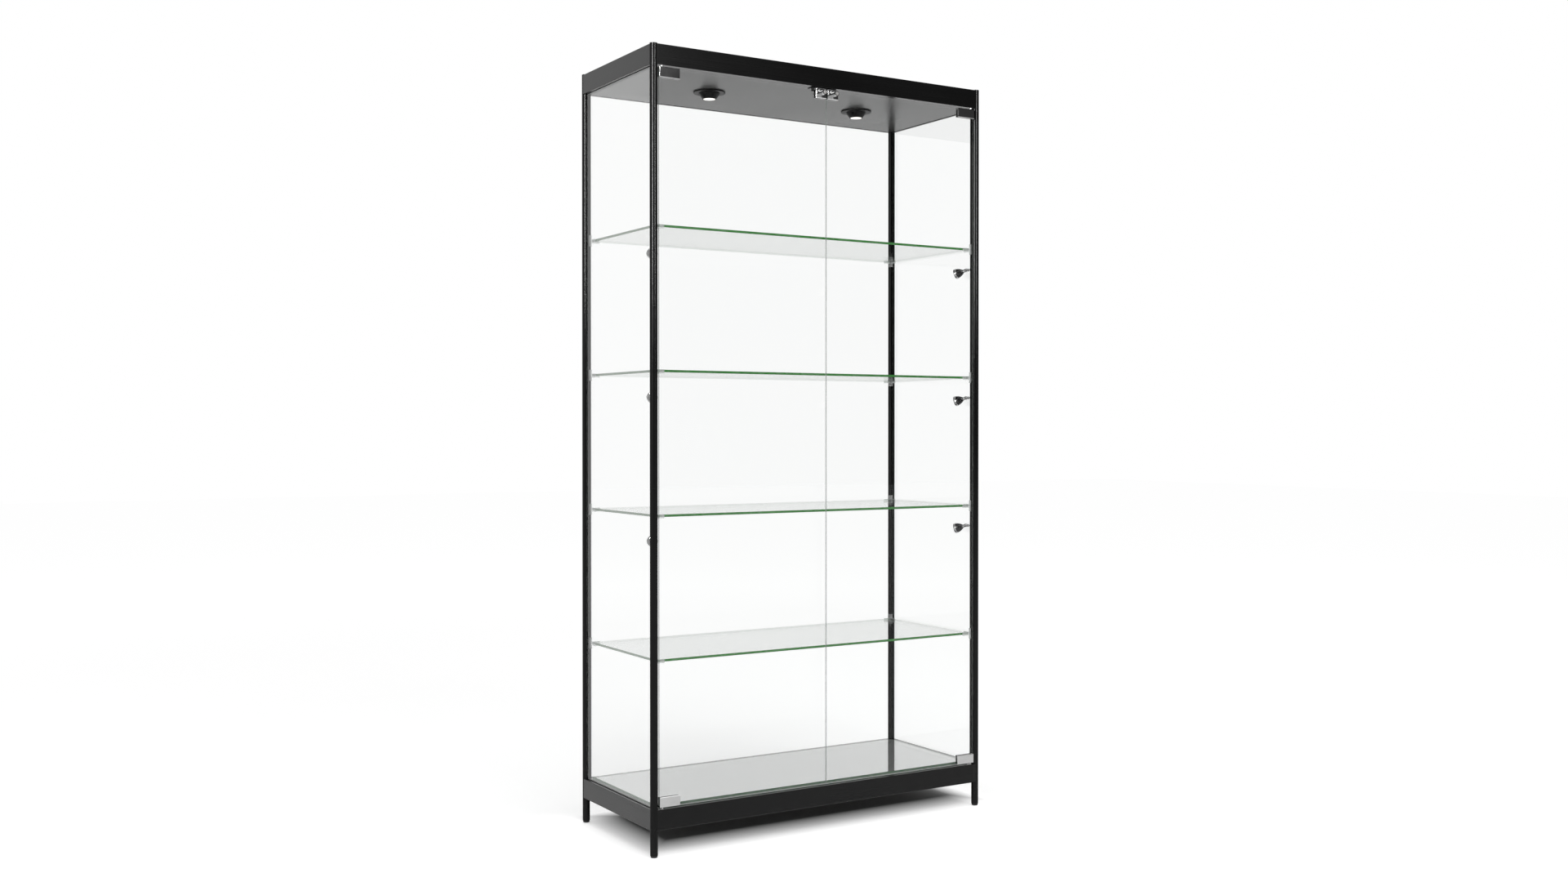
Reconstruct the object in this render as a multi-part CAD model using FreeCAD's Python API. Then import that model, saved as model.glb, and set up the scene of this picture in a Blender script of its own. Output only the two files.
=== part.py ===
import FreeCAD, Part
import math
import os
from FreeCAD import Vector

# Free-standing glass display cabinet with two hinged doors, shelves, locks and lamps.
# Millimetres. +Z is up, the doors face -Y, and the origin is on the floor under the middle.
# A corner is drawn once, at the front left post: s runs inwards along the width from the post
# axis, t runs inwards along the depth, and the other corners are mirror images.

# Overall sizes
case_width = 1000.0          # over the outside of the posts
case_depth = 410.0
frame_top = 1952.0           # top of the upper rails
lower_rail_bottom = 65.0

# Posts, caps and feet
post_diameter = 19.0
post_corner = 10.0           # square inner corner, from the post axis
post_bore = 7.0              # screw port along the axis
post_bottom = 5.0
cap_height = 1.5
cap_spigot = 12.0
foot_diameter = 17.0
foot_bevel = 1.2
foot_stud_length = 30.0

# Rails
rail_height = 50.0
rail_outset = 9.0            # outer face, from the post axis
rail_inset = 7.0             # inner face, from the post axis
rail_wall = 2.0
rail_bevel = 0.8
rail_solid_edge = 10.0       # thick edge that holds the glass groove and the door bushes
lip_depth = 8.0              # ledge that carries a panel
lip_thickness = 3.0

# Corner braces
brace_thickness = 2.5
brace_height = 20.0
brace_leg = 30.0
brace_start = 22.0           # where a leg leaves the rail, from the post axis
brace_drop = 18.0            # from the rail's open edge to the brace

# Panels and glass
panel_thickness = 6.0        # ceiling and base
cover_thickness = 3.0
pane_thickness = 5.0         # sides, back and doors
pane_groove_depth = 7.0      # in the rails
pane_post_depth = 4.5        # how far a pane reaches into a post
pane_top_gap = 0.6           # free height above a pane in the upper rail
deck_thickness = 6.0
deck_front_inset = 17.0
deck_side_inset = 12.5
shelf_thickness = 6.0
shelf_count = 4
shelf_first = 467.0          # underside of the lowest shelf
shelf_pitch = 350.0
glass_chamfer = 0.7

# Shelf clips
clip_wall = 2.0
clip_leg = 24.0              # along a shelf edge
clip_ledge = 3.0
clip_lip = 1.0               # above the shelf
clip_fin_height = 29.0
clip_fin_leg = 6.0           # on the face of a post

# Doors and hinges
door_plane = -4.0            # middle of the door glass, from the front post axes
door_side_gap = 1.5          # to the face of a post
door_middle_gap = 2.0
hinge_length = 55.0
hinge_height = 25.0
hinge_plate = 3.5            # on each side of the glass
hinge_web = 4.0
hinge_gap = 4.0              # to the rail
hinge_bevel = 1.0
pivot_inset = 20.0           # pivot axis, from the post axis
pivot_diameter = 5.0
pivot_square = 3.5           # shank in the clamp
pivot_reach = 9.0            # into the rail
bush_width = 8.0             # square pivot block

# Locks
lock_width = 32.0
lock_height = 25.0
lock_front_plate = 5.0
lock_back_plate = 3.5
lock_bevel = 1.5
lock_edge_gap = 1.0          # from the meeting edge of the door
lock_axis_drop = 8.5         # lock axis, below the top edge of the glass
collar_diameter = 21.0
collar_length = 4.0
barrel_diameter = 13.0
barrel_length = 13.0         # in front of the collar
lock_waist = 14.0            # square, through the notch in the glass
lock_notch = 18.0
plug_diameter = 9.0
plug_proud = 0.5
keyway_width = 1.6
keyway_height = 6.0
keyway_depth = 4.0
cam_length = 12.0            # from the lock axis to the tip
cam_width = 10.0
cam_tip_bevel = 3.0
cam_thickness = 2.0
cam_square = 6.0
strike_thickness = 2.0
strike_overhang = 4.0        # past the lock housings, at each end
strike_height = 10.0
strike_depth = 17.0
strike_cam_gap = 1.0

# Downlights, driver and cable grommet
downlight_offset = 230.0     # from the middle
downlight_flange = 83.0
downlight_flange_thickness = 2.0
downlight_cone_top = 56.0
downlight_cone_bottom = 38.0
downlight_cone_height = 20.0
lens_diameter = 34.0
lens_thickness = 2.0
driver_length = 160.0
driver_width = 44.0
driver_height = 28.0
driver_foot = 12.0
driver_foot_thickness = 3.0
grommet_length = 30.0        # slot in the top cover
grommet_width = 12.0
grommet_wall = 2.0
grommet_flange = 4.0         # round the slot
grommet_flange_thickness = 1.0
grommet_back_inset = 45.0    # from the back post axes

# Swivel lamps on the front posts
lamp_drop = 52.0             # lamp axis, below the shelf's underside
lamp_axis_s = 8.0            # stem axis, from the post axis
lamp_stem_diameter = 3.6
lamp_stem_reach = 3.0        # into the yoke
lamp_knuckle_t = 29.0        # tilt axis, from the post axis
lamp_boss_diameter = 7.6     # round end of the yoke, which turns on the stem
lamp_boss_length = 4.0
lamp_boss_gap = 5.4          # from the boss to the tilt axis
lamp_tongue_thickness = 2.6
lamp_tongue_half = 2.4       # half width of the tongue, and how far it passes the tilt axis
lamp_pin_diameter = 2.2
lamp_drum_diameter = 9.0     # slotted end of the head, which takes the tongue
lamp_drum_back = 2.8         # behind the tilt axis
lamp_drum_bevel = 1.0
lamp_slot_floor = 4.0        # in front of the tilt axis
lamp_lean = 35.0             # degrees between the stem and the beam
lamp_dip = 30.0              # degrees that the lean points below level
lamp_back_offset = 7.0       # from the tilt axis to the back of the head
lamp_back_diameter = 8.4
lamp_mouth_diameter = 25.2
lamp_cone_length = 21.0
lamp_lens_thickness = 1.5
lamp_rim_diameter = 28.0
lamp_rim_inner = 22.0
lamp_rim_length = 5.5
lamp_rim_bevel = 1.0
round_sides = 24             # flat sides of the lamps and foot pads, which keeps them light

# Fits
joint_gap = 0.2              # rail ends against the posts
panel_gap = 0.3              # round a panel or shelf
groove_gap = 0.2             # each side of a pane
press_gap = 0.02             # radial, pieces that are pressed together
run_gap = 0.05               # radial, pieces that turn in each other
side_gap = 0.3               # between flat faces that move past each other
edge_match = 0.01            # how close an edge lies to the face it is picked by

# Worked out from the sizes above
half_w = (case_width - post_diameter) / 2
half_d = (case_depth - post_diameter) / 2
upper_rail_bottom = frame_top - rail_height
lower_rail_top = lower_rail_bottom + rail_height
lip_end = rail_inset + lip_depth + joint_gap
pane_edge = post_corner - pane_post_depth
groove_half = pane_thickness / 2 + groove_gap
door_top = upper_rail_bottom - hinge_gap - hinge_web
door_bottom = lower_rail_top + hinge_gap + hinge_web
door_edge = post_corner + door_side_gap
door_front = door_plane - pane_thickness / 2
door_back = door_plane + pane_thickness / 2
shelf_inset = post_corner + clip_wall + panel_gap
lock_x = door_middle_gap / 2 + lock_edge_gap + lock_width / 2
lock_z = door_top - lock_axis_drop
lock_rear = door_back + lock_back_plate
downlight_end = upper_rail_bottom - downlight_flange_thickness - downlight_cone_height
strike_end = lock_x + lock_width / 2 + strike_overhang
strike_front = lock_rear + strike_cam_gap + strike_thickness
cam_front = strike_front + strike_thickness + strike_cam_gap
CORNERS = {"front_left": (-1, -1), "front_right": (1, -1), "back_left": (-1, 1), "back_right": (1, 1)}


def prism(outline, low, high):
    """Upright prism over (x, y) points, from one height to another."""
    points = [Vector(x, y, low) for x, y in outline]
    return Part.Face(Part.makePolygon(points + points[:1])).extrude(Vector(0, 0, high - low))


def along_width(section, start, end):
    """Prism along +X, from one X to another, over a section of (y, z) points."""
    solid = prism(section, 0, end - start)
    turn = FreeCAD.Rotation(Vector(0, 1, 0), Vector(0, 0, 1), Vector(1, 0, 0), "ZXY")
    solid.Placement = FreeCAD.Placement(Vector(start, 0, 0), turn)
    return solid


def along_depth(section, front, back):
    """Prism along +Y, from one Y to another, over a section of (x, z) points."""
    points = [Vector(x, front, z) for x, z in section]
    return Part.Face(Part.makePolygon(points + points[:1])).extrude(Vector(0, back - front, 0))


def box(low, high):
    size = Vector(*high) - Vector(*low)
    return Part.makeBox(size.x, size.y, size.z, Vector(*low))


def rod(diameter, start, end):
    axis = Vector(*end) - Vector(*start)
    return Part.makeCylinder(diameter / 2, axis.Length, Vector(*start), axis)


def turned(profile):
    """Solid of revolution about Z over (radius, z) points."""
    points = [Vector(r, 0, z) for r, z in profile]
    face = Part.Face(Part.makePolygon(points + points[:1]))
    return face.revolve(Vector(), Vector(0, 0, 1), 360)


def faceted(profile):
    """Solid round Z over (radius, z) points, with flat sides instead of a curved one."""
    turns = [2 * math.pi * (i % round_sides) / round_sides for i in range(round_sides + 1)]
    rings = [[Vector(r * math.cos(a), r * math.sin(a), z) for a in turns] for r, z in profile]
    faces = []
    for ring, after in zip(rings, rings[1:] + rings[:1]):
        for i in range(round_sides):
            corners = [ring[i], ring[i + 1], after[i + 1], after[i]]
            corners = [p for k, p in enumerate(corners) if p != corners[k - 1]]
            if len(corners) > 2:
                faces.append(Part.Face(Part.makePolygon(corners + corners[:1])))
    return Part.makeSolid(Part.makeShell(faces)).removeSplitter()


def fused(first, *others):
    return first.fuse(list(others)).removeSplitter()


def at_corner(shape, corner):
    """Copy of a shape drawn at the front left post, set at the named corner."""
    side, end = CORNERS[corner]
    if side > 0:
        shape = shape.mirror(Vector(), Vector(1, 0, 0))
    if end > 0:
        shape = shape.mirror(Vector(), Vector(0, 1, 0))
    return shape.translated(Vector(side * half_w, end * half_d, 0))


def at_corners(shape):
    return [at_corner(shape, corner) for corner in CORNERS]


def mirrored_x(shape):
    return shape.mirror(Vector(), Vector(1, 0, 0))


def save(node, *solids):
    shape = solids[0] if len(solids) == 1 else Part.makeCompound(list(solids))
    shape.exportStep("parts/" + node + ".step")


def post_outline(grow, low, high):
    """Outer form of a post, round outside with a square inner corner."""
    square = box((0, 0, low), (post_corner + grow, post_corner + grow, high))
    return fused(rod(post_diameter + 2 * grow, (0, 0, low), (0, 0, high)), square)


def post(groove_along_depth, groove_along_width):
    """Post extrusion with a glass groove for each pane that it holds; the leg is turned round."""
    body = post_outline(0, lower_rail_bottom, frame_top)
    leg = rod(post_diameter, (0, 0, post_bottom), (0, 0, lower_rail_bottom))
    body = fused(body, leg)
    reach = post_diameter
    bottom = pane_edge - groove_gap
    if groove_along_depth:
        body = body.cut(box((-groove_half, bottom, lower_rail_bottom), (groove_half, reach, frame_top)))
    if groove_along_width:
        body = body.cut(box((bottom, -groove_half, lower_rail_bottom), (reach, groove_half, frame_top)))
    return body.cut(rod(post_bore, (0, 0, post_bottom), (0, 0, frame_top)))


def post_cap():
    """Plate with a square spigot, whose corners grip the post's bore."""
    plate = post_outline(0, frame_top, frame_top + cap_height)
    half = (post_bore / 2 - press_gap) / math.sqrt(2)
    return fused(plate, box((-half, -half, frame_top - cap_spigot), (half, half, frame_top)))


def foot():
    """Levelling foot: a round pad on a stud that turns in the post's screw port."""
    pad_top = post_bottom - side_gap
    radius = foot_diameter / 2
    pad = faceted([(0, 0), (radius - foot_bevel, 0), (radius, foot_bevel), (radius, pad_top), (0, pad_top)])
    return fused(pad, rod(post_bore - 2 * run_gap, (0, 0, 0), (0, 0, foot_stud_length)))


def rail(length, upper, grooved):
    """Rail along +X between two post axes, drawn with its outer face towards -Y.

    The thick edge faces the glass; the ledges carry the panels; the ends are coped round the posts.
    """
    low = upper_rail_bottom if upper else lower_rail_bottom
    high = low + rail_height
    face = -rail_outset
    bevel = rail_bevel
    outer = [(face, low + bevel), (face + bevel, low), (rail_inset, low), (rail_inset, high),
             (face + bevel, high), (face, high - bevel)]
    if upper:
        hollow = (low + rail_solid_edge, high - rail_wall)
        groove = (low, low + pane_groove_depth)
        lips = [low + panel_thickness, high - cover_thickness - lip_thickness]
    else:
        hollow = (low + rail_wall, high - rail_solid_edge)
        groove = (high - pane_groove_depth, high)
        lips = [high - panel_thickness - lip_thickness]
    body = along_width(outer, 0, length)
    body = body.cut(box((0, face + rail_wall, hollow[0]), (length, rail_inset - rail_wall, hollow[1])))
    if grooved:
        body = body.cut(box((0, -groove_half, groove[0]), (length, groove_half, groove[1])))
    for z in lips:
        lip = box((lip_end, rail_inset, z), (length - lip_end, rail_inset + lip_depth, z + lip_thickness))
        body = body.fuse(lip)
    cope = post_outline(joint_gap, low, high)
    far_cope = mirrored_x(cope).translated(Vector(length, 0, 0))
    return body.cut([cope, far_cope]).removeSplitter()


def rails(upper):
    """Front, back, left and right rail of the upper or the lower frame, in place."""
    corner = Vector(-half_w, -half_d, 0)
    front = rail(2 * half_w, upper, False).translated(corner)
    low = upper_rail_bottom if upper else lower_rail_top - rail_solid_edge
    half = bush_width / 2 + press_gap
    for side in (-1, 1):
        x = side * (half_w - pivot_inset)
        y = -half_d + door_plane
        pocket = box((x - half, y - half, low), (x + half, y + half, low + rail_solid_edge))
        front = front.cut(pocket)
    back = rail(2 * half_w, upper, True).translated(corner).mirror(Vector(), Vector(0, 1, 0))
    left = rail(2 * half_d, upper, True).mirror(Vector(), Vector(1, -1, 0)).translated(corner)
    return {"front": front, "back": back, "left": left, "right": mirrored_x(left)}


def brace(low):
    """Corner brace: two legs on the inner faces of the rails and a web across the post's corner."""
    inner = rail_inset
    outer = rail_inset + brace_thickness
    far = brace_start + brace_leg
    knee = brace_start + brace_thickness * math.tan(math.pi / 8)
    outline = [(far, inner), (far, outer), (knee, outer), (outer, knee), (outer, far), (inner, far),
               (inner, brace_start), (brace_start, inner)]
    return prism(outline, low, low + brace_height)


def framed_panel(low, high):
    """Flat panel between the rails, notched round the four posts."""
    inset = rail_inset + panel_gap
    panel = box((inset - half_w, inset - half_d, low), (half_w - inset, half_d - inset, high))
    notch = post_corner + panel_gap
    return panel.cut(at_corners(box((0, 0, low), (notch, notch, high))))


def at_outlet(grow, low, high):
    """Block over the cable outlet's slot in the top cover, larger all round by grow."""
    x = grommet_length / 2 + grow
    y = grommet_width / 2 + grow
    middle = half_d - grommet_back_inset
    return box((-x, middle - y, low), (x, middle + y, high))


def top_cover():
    panel = framed_panel(frame_top - cover_thickness, frame_top)
    return panel.cut(at_outlet(0, frame_top - cover_thickness, frame_top))


def side_glass():
    seat = lower_rail_top - pane_groove_depth
    top = upper_rail_bottom + pane_groove_depth - pane_top_gap
    half = half_d - pane_edge
    return box((-half_w - pane_thickness / 2, -half, seat), (-half_w + pane_thickness / 2, half, top))


def back_glass():
    seat = lower_rail_top - pane_groove_depth
    top = upper_rail_bottom + pane_groove_depth - pane_top_gap
    half = half_w - pane_edge
    return box((-half, half_d - pane_thickness / 2, seat), (half, half_d + pane_thickness / 2, top))


def flat_glass(low, high):
    """Loose sheet of glass with ground edges."""
    sheet = box(low, high)
    return sheet.makeChamfer(glass_chamfer, sheet.Edges)


def shelf(underside):
    x = half_w - shelf_inset
    y = half_d - shelf_inset
    return flat_glass((-x, -y, underside), (x, y, underside + shelf_thickness))


def deck():
    x = half_w - deck_side_inset
    front = -half_d + deck_front_inset
    back = half_d - deck_side_inset
    return flat_glass((-x, front, lower_rail_top), (x, back, lower_rail_top + deck_thickness))


def shelf_clip(underside):
    """Clear corner clip: a fin on the post, a rim round the shelf's corner and a ledge under it."""
    face = post_corner
    wall = face + clip_wall
    tip = face + clip_leg
    fin_end = face - clip_fin_leg
    middle = underside + shelf_thickness / 2
    half_fin = clip_fin_height / 2
    fin = prism([(face, fin_end), (wall, fin_end), (wall, wall), (fin_end, wall), (fin_end, face),
                 (face, face)], middle - half_fin, middle + half_fin)
    rim = prism([(face, face), (tip, face), (tip, wall), (wall, wall), (wall, tip), (face, tip)],
                underside - clip_ledge, underside + shelf_thickness + clip_lip)
    ledge = prism([(face, face), (tip, face), (tip, wall), (wall, tip), (face, tip)],
                  underside - clip_ledge, underside)
    return fused(fin, rim, ledge)


def door_glass():
    """Left door pane, with a notch in its upper edge for the waist of the lock."""
    front = -half_d + door_front
    back = -half_d + door_back
    half = lock_notch / 2
    pane = box((door_edge - half_w, front, door_bottom), (-door_middle_gap / 2, back, door_top))
    return pane.cut(box((-lock_x - half, front, lock_z - half), (-lock_x + half, back, door_top)))


def edge_clamp(start, length, height, front_plate, back_plate, bevel):
    """U-shaped block over the upper edge of the door glass, from X start, with bevelled outer faces."""
    top = door_top + hinge_web
    bottom = top - height
    front = -half_d + door_front
    back = -half_d + door_back
    face = front - front_plate
    rear = back + back_plate
    body = along_width([(face, bottom), (front, bottom), (front, door_top), (back, door_top), (back, bottom),
                        (rear, bottom), (rear, top), (face, top)], start, start + length)
    edges = [e for e in body.Edges if e.BoundBox.YMax < face + edge_match]
    edges += [e for e in body.Edges if e.BoundBox.YMin > rear - edge_match]
    return body.makeChamfer(bevel, edges)


def upside_down(shape):
    """Copy of a hinge piece from the top of a door, set at the bottom."""
    middle = (upper_rail_bottom + lower_rail_top) / 2
    return shape.mirror(Vector(0, 0, middle), Vector(0, 0, 1))


def pivot_block(width, low, high):
    """Square block on the left door's pivot axis."""
    x = pivot_inset - half_w
    y = -half_d + door_plane
    half = width / 2
    return box((x - half, y - half, low), (x + half, y + half, high))


def pivot_rod(diameter, low, high):
    """Round rod on the left door's pivot axis."""
    x = pivot_inset - half_w
    y = -half_d + door_plane
    return rod(diameter, (x, y, low), (x, y, high))


def hinge_clamp():
    """Upper clamp of the left door, with a square hole for its pivot pin."""
    start = door_edge - half_w
    body = edge_clamp(start, hinge_length, hinge_height, hinge_plate, hinge_plate, hinge_bevel)
    return body.cut(pivot_block(pivot_square + 2 * press_gap, door_top, door_top + hinge_web))


def hinge_pin():
    """Upper pivot pin of the left door: a square shank in the clamp and a journal in the rail."""
    shoulder = door_top + hinge_web
    shank = pivot_block(pivot_square, door_top, shoulder)
    return fused(shank, pivot_rod(pivot_diameter, shoulder, upper_rail_bottom + pivot_reach))


def pivot_bush():
    """Pivot block in the upper rail, with a blind bore for the left door's pin."""
    block = pivot_block(bush_width, upper_rail_bottom, upper_rail_bottom + rail_solid_edge)
    floor = upper_rail_bottom + pivot_reach + side_gap
    return block.cut(pivot_rod(pivot_diameter + 2 * run_gap, upper_rail_bottom, floor))


def lock_housing():
    """Left lock: a block over the edge of the glass, its collar, its barrel and a waist in the notch."""
    start = -lock_x - lock_width / 2
    body = edge_clamp(start, lock_width, lock_height, lock_front_plate, lock_back_plate, lock_bevel)
    plate = -half_d + door_front - lock_front_plate
    shoulder = plate - collar_length
    front = shoulder - barrel_length
    rear = -half_d + lock_rear
    collar = rod(collar_diameter, (-lock_x, shoulder, lock_z), (-lock_x, plate, lock_z))
    barrel = rod(barrel_diameter, (-lock_x, front, lock_z), (-lock_x, shoulder, lock_z))
    half = lock_waist / 2
    waist = box((-lock_x - half, -half_d + door_front, lock_z - half),
                (-lock_x + half, -half_d + door_back, door_top))
    bore = rod(plug_diameter + 2 * run_gap, (-lock_x, front, lock_z), (-lock_x, rear, lock_z))
    return fused(body, collar, barrel, waist).cut(bore)


def lock_plug():
    """Left lock plug with its keyway, and a square tang that holds the cam."""
    front = -half_d + door_front - lock_front_plate - collar_length - barrel_length - plug_proud
    shoulder = -half_d + cam_front
    tang_end = shoulder + cam_thickness
    half = cam_square / 2 - run_gap
    body = rod(plug_diameter, (-lock_x, front, lock_z), (-lock_x, shoulder, lock_z))
    tang = box((-lock_x - half, shoulder, lock_z - half), (-lock_x + half, tang_end, lock_z + half))
    keyway = box((-lock_x - keyway_width / 2, front, lock_z - keyway_height / 2),
                 (-lock_x + keyway_width / 2, front + keyway_depth, lock_z + keyway_height / 2))
    return fused(body, tang).cut(keyway)


def lock_cam():
    """Left lock cam in its open position, pointing away from the meeting edges."""
    front = -half_d + cam_front
    back = front + cam_thickness
    half = cam_width / 2
    end = -lock_x + half
    tip = -lock_x - cam_length
    bevel = cam_tip_bevel
    low = lock_z - half
    high = lock_z + half
    arm = along_depth([(end, low), (end, high), (tip + bevel, high), (tip, high - bevel), (tip, low + bevel),
                       (tip + bevel, low)], front, back)
    half = cam_square / 2
    return arm.cut(box((-lock_x - half, front, lock_z - half), (-lock_x + half, back, lock_z + half)))


def lock_strike():
    """Angle under the upper front rail; a cam that is turned up stands behind its hanging leg."""
    front = -half_d + strike_front
    top = upper_rail_bottom
    back = front + strike_thickness
    end = front + strike_depth
    bottom = top - strike_height
    plate = top - strike_thickness
    section = [(front, top), (front, bottom), (back, bottom), (back, plate), (end, plate), (end, top)]
    return along_width(section, -strike_end, strike_end)


def downlight_housing():
    """Turned housing: a flange under the ceiling and a cone that carries the lens."""
    top = upper_rail_bottom
    flange = top - downlight_flange_thickness
    rim = downlight_flange / 2
    return turned([(0, top), (rim, top), (rim, flange), (downlight_cone_top / 2, flange),
                   (downlight_cone_bottom / 2, downlight_end), (0, downlight_end)])


def downlight_lens():
    return rod(lens_diameter, (0, 0, downlight_end - lens_thickness), (0, 0, downlight_end))


def pair(shape):
    """The same piece at both downlights."""
    return [shape.translated(Vector(side * downlight_offset, 0, 0)) for side in (-1, 1)]


def lamp_driver():
    """Driver box with a screw foot at each end, on the upper side of the ceiling panel."""
    low = upper_rail_bottom + panel_thickness
    case_end = driver_length / 2
    foot_end = case_end + driver_foot
    step = low + driver_foot_thickness
    high = low + driver_height
    half = driver_width / 2
    section = [(-foot_end, low), (foot_end, low), (foot_end, step), (case_end, step), (case_end, high),
               (-case_end, high), (-case_end, step), (-foot_end, step)]
    return along_depth(section, -half, half)


def cable_grommet():
    """Rubber frame in the top cover, near the back, where the supply lead would leave."""
    low = frame_top - cover_thickness
    high = frame_top + grommet_flange_thickness
    sleeve = at_outlet(-run_gap, low, frame_top)
    flange = at_outlet(grommet_flange, frame_top, high)
    return fused(sleeve, flange).cut(at_outlet(-grommet_wall, low, high))


def lamp_heights():
    """Heights of the lamp axes: one under each shelf but the lowest, from the top down."""
    undersides = [shelf_first + i * shelf_pitch for i in range(shelf_count)]
    return [z - lamp_drop for z in reversed(undersides[1:])]


def lamp_axes():
    """Beam direction and tilt axis of a left lamp."""
    lean = math.radians(lamp_lean)
    dip = math.radians(lamp_dip)
    beam = Vector(math.sin(lean) * math.cos(dip), math.cos(lean), -math.sin(lean) * math.sin(dip))
    tilt = Vector(-math.sin(dip), 0, -math.cos(dip))
    return beam, tilt


def lamp_frame(along):
    """Placement with local Z along a direction, local X on the tilt axis and the tilt axis at 0."""
    tilt = lamp_axes()[1]
    turn = FreeCAD.Rotation(tilt, along.cross(tilt), along, "ZXY")
    return FreeCAD.Placement(Vector(lamp_axis_s, lamp_knuckle_t, 0), turn)


def lamp_base():
    """Stem on the inner rear face of a post, which the yoke turns on."""
    stem_end = lamp_knuckle_t - lamp_boss_gap - lamp_boss_length + lamp_stem_reach
    return rod(lamp_stem_diameter, (lamp_axis_s, post_corner, 0), (lamp_axis_s, stem_end, 0))


def lamp_yoke():
    """A round boss that turns on the stem, and a flat tongue that the head tilts on."""
    boss_end = -lamp_boss_gap
    boss_start = boss_end - lamp_boss_length
    hole_end = boss_start + lamp_stem_reach + side_gap
    radius = lamp_boss_diameter / 2
    half = lamp_tongue_thickness / 2
    boss = faceted([(0, boss_start), (radius, boss_start), (radius, boss_end), (0, boss_end)])
    tongue = box((-half, -lamp_tongue_half, boss_end), (half, lamp_tongue_half, lamp_tongue_half))
    stem_hole = rod(lamp_stem_diameter + 2 * run_gap, (0, 0, boss_start), (0, 0, hole_end))
    pin_hole = rod(lamp_pin_diameter + 2 * run_gap, (-half, 0, 0), (half, 0, 0))
    yoke = fused(boss, tongue).cut([stem_hole, pin_hole])
    yoke.Placement = lamp_frame(Vector(0, 1, 0))
    return yoke


def lamp_head():
    """Bell with its slotted drum and pin, a lens, and the rim that frames the lens."""
    back = lamp_back_offset
    mouth = back + lamp_cone_length
    front = mouth + lamp_rim_length
    mouth_r = lamp_mouth_diameter / 2
    rim_r = lamp_rim_diameter / 2
    inner_r = lamp_rim_inner / 2
    lens_r = inner_r - press_gap
    bevel = lamp_rim_bevel
    drum_r = lamp_drum_diameter / 2
    drum_end = -lamp_drum_back
    half = lamp_tongue_thickness / 2 + side_gap
    bell = faceted([(0, back), (lamp_back_diameter / 2, back), (mouth_r, mouth), (0, mouth)])
    drum = faceted([(0, drum_end), (drum_r - lamp_drum_bevel, drum_end),
                    (drum_r, drum_end + lamp_drum_bevel), (drum_r, back), (0, back)])
    slot = box((-half, -drum_r, drum_end), (half, drum_r, lamp_slot_floor))
    pin = rod(lamp_pin_diameter, (-half, 0, 0), (half, 0, 0))
    lens = faceted([(0, mouth), (lens_r, mouth), (lens_r, mouth + lamp_lens_thickness),
                    (0, mouth + lamp_lens_thickness)])
    rim = faceted([(inner_r, mouth), (rim_r, mouth), (rim_r, front - bevel), (rim_r - bevel, front),
                   (inner_r, front)])
    pieces = [fused(bell, drum.cut(slot), pin), lens, rim]
    for piece in pieces:
        piece.Placement = lamp_frame(lamp_axes()[0])
    return pieces


def build():
    os.makedirs("parts", exist_ok=True)
    for corner in CORNERS:
        save("post_" + corner, at_corner(post(True, corner.startswith("back")), corner))
        save("foot_" + corner, at_corner(foot(), corner))
    save("post_caps", *at_corners(post_cap()))
    for side, solid in rails(True).items():
        save("top_rail_" + side, solid)
    for side, solid in rails(False).items():
        save("bottom_rail_" + side, solid)
    upper_brace = brace(upper_rail_bottom + brace_drop)
    lower_brace = brace(lower_rail_top - brace_drop - brace_height)
    save("corner_braces", *at_corners(upper_brace), *at_corners(lower_brace))
    save("ceiling_panel", framed_panel(upper_rail_bottom, upper_rail_bottom + panel_thickness))
    save("top_cover", top_cover())
    save("base_panel", framed_panel(lower_rail_top - panel_thickness, lower_rail_top))
    save("deck_glass", deck())
    save("side_glass_left", side_glass())
    save("side_glass_right", mirrored_x(side_glass()))
    save("back_glass", back_glass())
    clips = []
    for i in range(shelf_count):
        underside = shelf_first + i * shelf_pitch
        save("shelf_" + str(i + 1), shelf(underside))
        clips += at_corners(shelf_clip(underside))
    save("shelf_clips", *clips)
    bushes = [pivot_bush(), upside_down(pivot_bush())]
    save("pivot_bushes", *bushes, *[mirrored_x(b) for b in bushes])
    clamps = [hinge_clamp(), upside_down(hinge_clamp())]
    pins = [hinge_pin(), upside_down(hinge_pin())]
    lock = [lock_plug(), lock_cam()]
    save("door_glass_left", door_glass())
    save("hinge_clamps_left", *clamps)
    save("hinge_pins_left", *pins)
    save("lock_housing_left", lock_housing())
    save("lock_plug_left", *lock)
    save("door_glass_right", mirrored_x(door_glass()))
    save("hinge_clamps_right", *[mirrored_x(c) for c in clamps])
    save("hinge_pins_right", *[mirrored_x(p) for p in pins])
    save("lock_housing_right", mirrored_x(lock_housing()))
    save("lock_plug_right", *[mirrored_x(p) for p in lock])
    save("lock_strike", lock_strike())
    save("downlight_housings", *pair(downlight_housing()))
    save("downlight_lenses", *pair(downlight_lens()))
    save("lamp_driver", lamp_driver())
    save("cable_grommet", cable_grommet())
    bases = []
    for side in ("left", "right"):
        for level, z in zip(("upper", "middle", "lower"), lamp_heights()):
            up = Vector(0, 0, z)
            corner = "front_" + side
            name = side + "_" + level
            bases.append(at_corner(lamp_base().translated(up), corner))
            save("lamp_yoke_" + name, at_corner(lamp_yoke().translated(up), corner))
            save("lamp_head_" + name, *[at_corner(p.translated(up), corner) for p in lamp_head()])
    save("lamp_bases", *bases)


build()
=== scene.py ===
import math

import bmesh
import bpy
from mathutils import Matrix, Vector


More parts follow.
